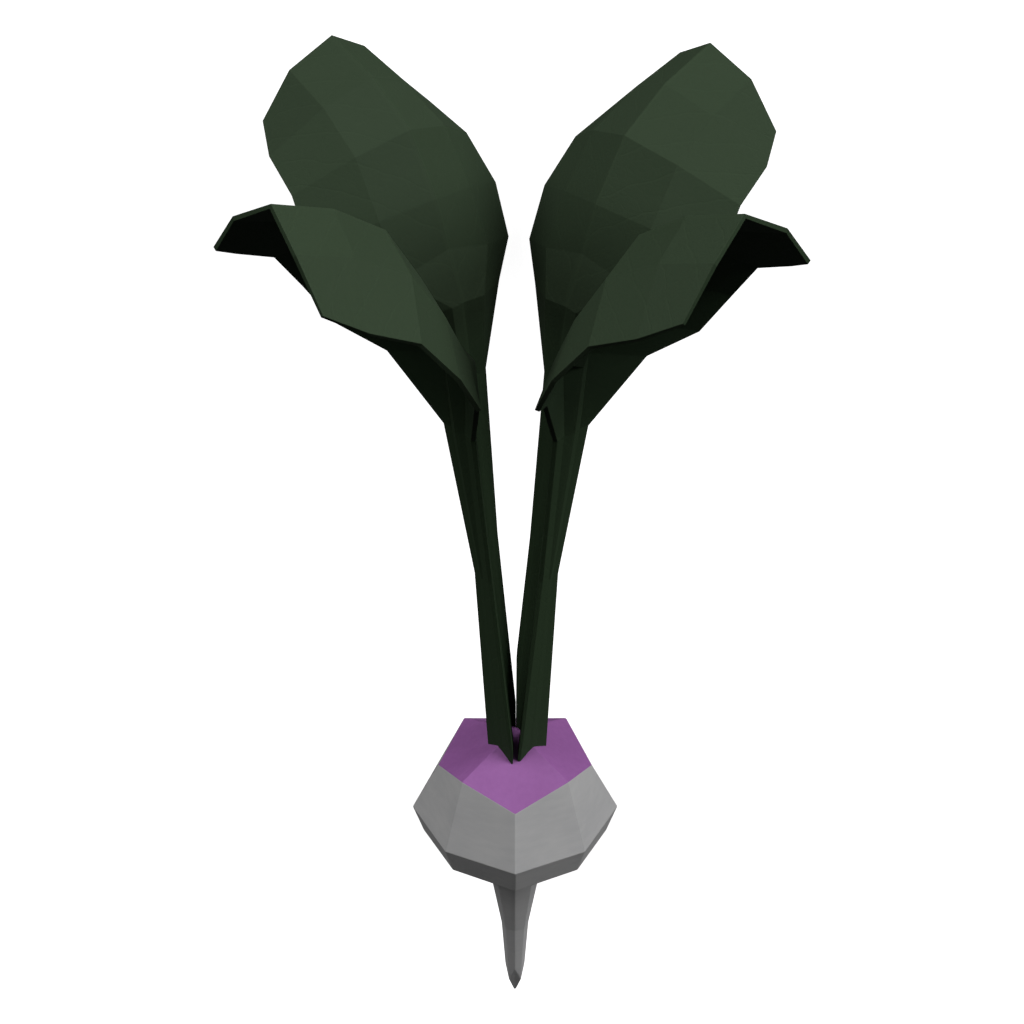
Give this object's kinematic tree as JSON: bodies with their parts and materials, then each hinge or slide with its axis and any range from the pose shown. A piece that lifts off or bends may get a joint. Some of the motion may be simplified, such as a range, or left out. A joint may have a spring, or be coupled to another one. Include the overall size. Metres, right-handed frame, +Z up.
{
  "type": "turnip",
  "caption": "Young turnip pulled with its leaves on: a faceted white bulb with a purple crown and a thin tap root, lying on its back under long-stalked, arched green leaves.",
  "frame": {"origin": "middle of the bounding box, at the surface that the turnip lies on", "axes": "+Z up from the surface, +Y from the root towards the leaf tips, +X to the right as seen from above with the leaves away"},
  "size_m": [0.1392, 0.2944, 0.1342],
  "materials": {
    "root_skin": "smooth living root skin, off-white to grey, violet over the crown, faint satin wax",
    "leaf": "fresh dark green leaf, soft and dull with a faint waxy sheen"
  },
  "bodies": {
    "root": {"bulb": "root_skin", "leaf_front_left": "leaf", "leaf_front_right": "leaf", "leaf_back_left": "leaf", "leaf_back_right": "leaf"}
  },
  "joints": []
}
